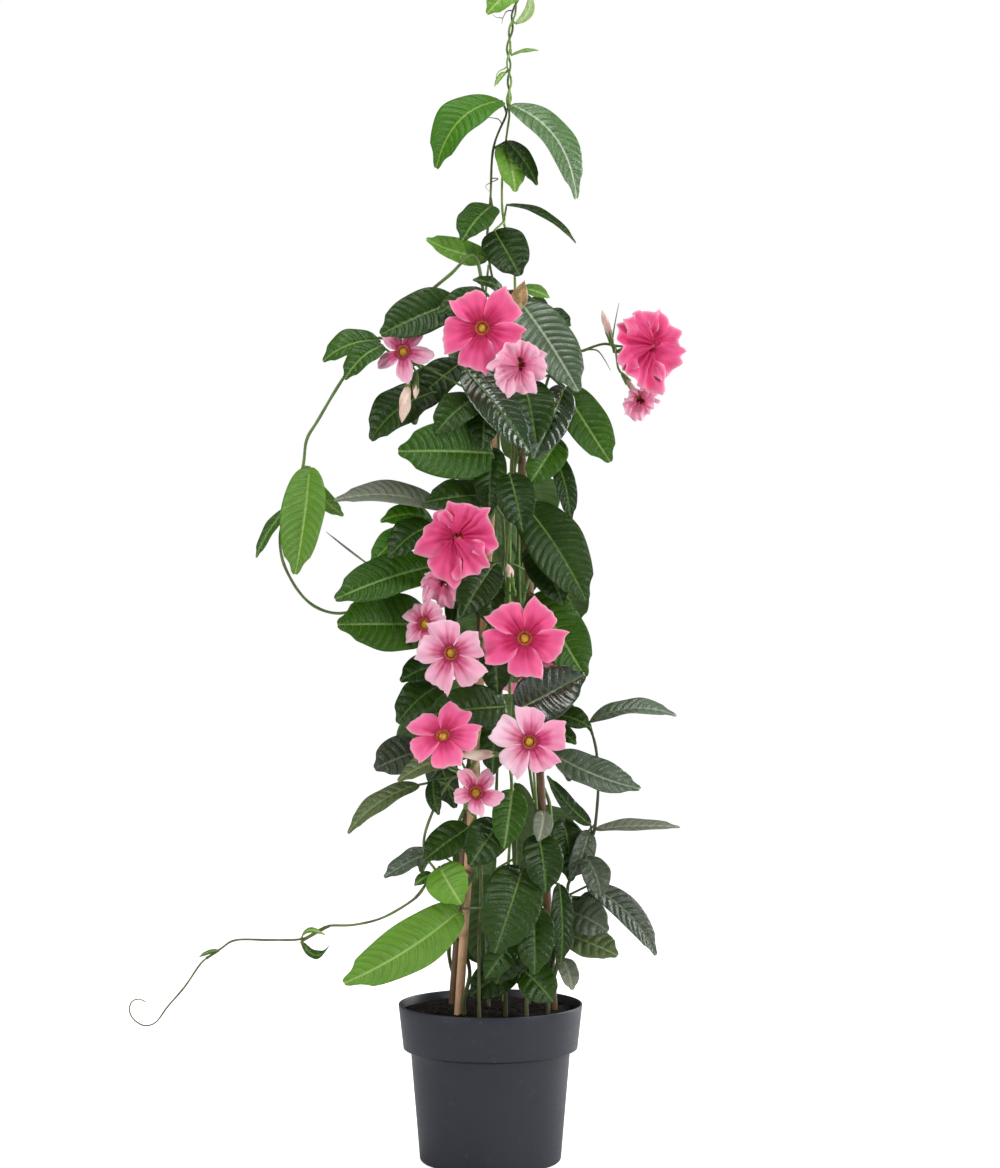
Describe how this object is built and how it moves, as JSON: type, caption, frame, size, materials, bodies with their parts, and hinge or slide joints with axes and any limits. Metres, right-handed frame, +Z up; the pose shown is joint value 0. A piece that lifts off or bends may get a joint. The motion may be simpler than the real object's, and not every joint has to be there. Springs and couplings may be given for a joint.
{
  "type": "potted mandevilla",
  "caption": "Climbing mandevilla with quilted glossy leaves and pink funnel flowers, trained up a pyramid of bamboo canes in a tapered nursery pot.",
  "frame": {"origin": "middle of the pot's flat underside", "axes": "+Z up along the pot's axis and the plant's height; the front of the plant looks to -Y; +X is right as seen from the front"},
  "size_m": [0.574, 0.3155, 1.2888],
  "materials": {
    "pot": "satin slate-grey plastic",
    "soil": "dark crumbly potting soil",
    "cane": "tan bamboo, dull sheen",
    "tie": "dark green plastic tie",
    "leaf": "glossy dark green quilted leaf",
    "young_leaf": "fresh light green leaf",
    "petal_hot": "soft hot-pink petal",
    "petal_pale": "soft pale-pink petal",
    "bud": "furled cream and pink bud",
    "withered": "dry brown bract"
  },
  "bodies": {
    "root": {"pot": "pot", "soil": "soil", "cane_left": "cane", "cane_back": "cane", "cane_right": "cane", "cane_tie": "tie", "vine_left": "leaf", "vine_right": "leaf", "vine_back": "leaf", "vine_back_right": "leaf", "vine_front": "leaf", "leader_dark": "young_leaf", "leader_green": "young_leaf", "shoot_low_left": "leaf", "shoot_low_right": "leaf", "shoot_low_front": "leaf", "bloom_crown": "petal_hot", "bloom_side": "petal_hot", "bloom_middle_left": "petal_hot", "bloom_heart": "petal_hot", "bloom_low_left": "petal_hot", "bloom_back_high": "petal_hot", "bloom_back_low": "petal_hot", "bloom_crown_faded": "petal_pale", "bloom_shoulder": "petal_pale", "bloom_side_faded": "petal_pale", "bloom_faded_left": "petal_pale", "bloom_pale_left": "petal_pale", "bloom_pink_left": "petal_pale", "bloom_low_right": "petal_pale", "bloom_small": "petal_pale", "bud_shoulder": "bud", "bud_shoulder_small": "bud", "bud_middle": "bud", "bud_side": "bud", "bud_heart": "bud", "bud_withered": "withered"}
  },
  "joints": []
}
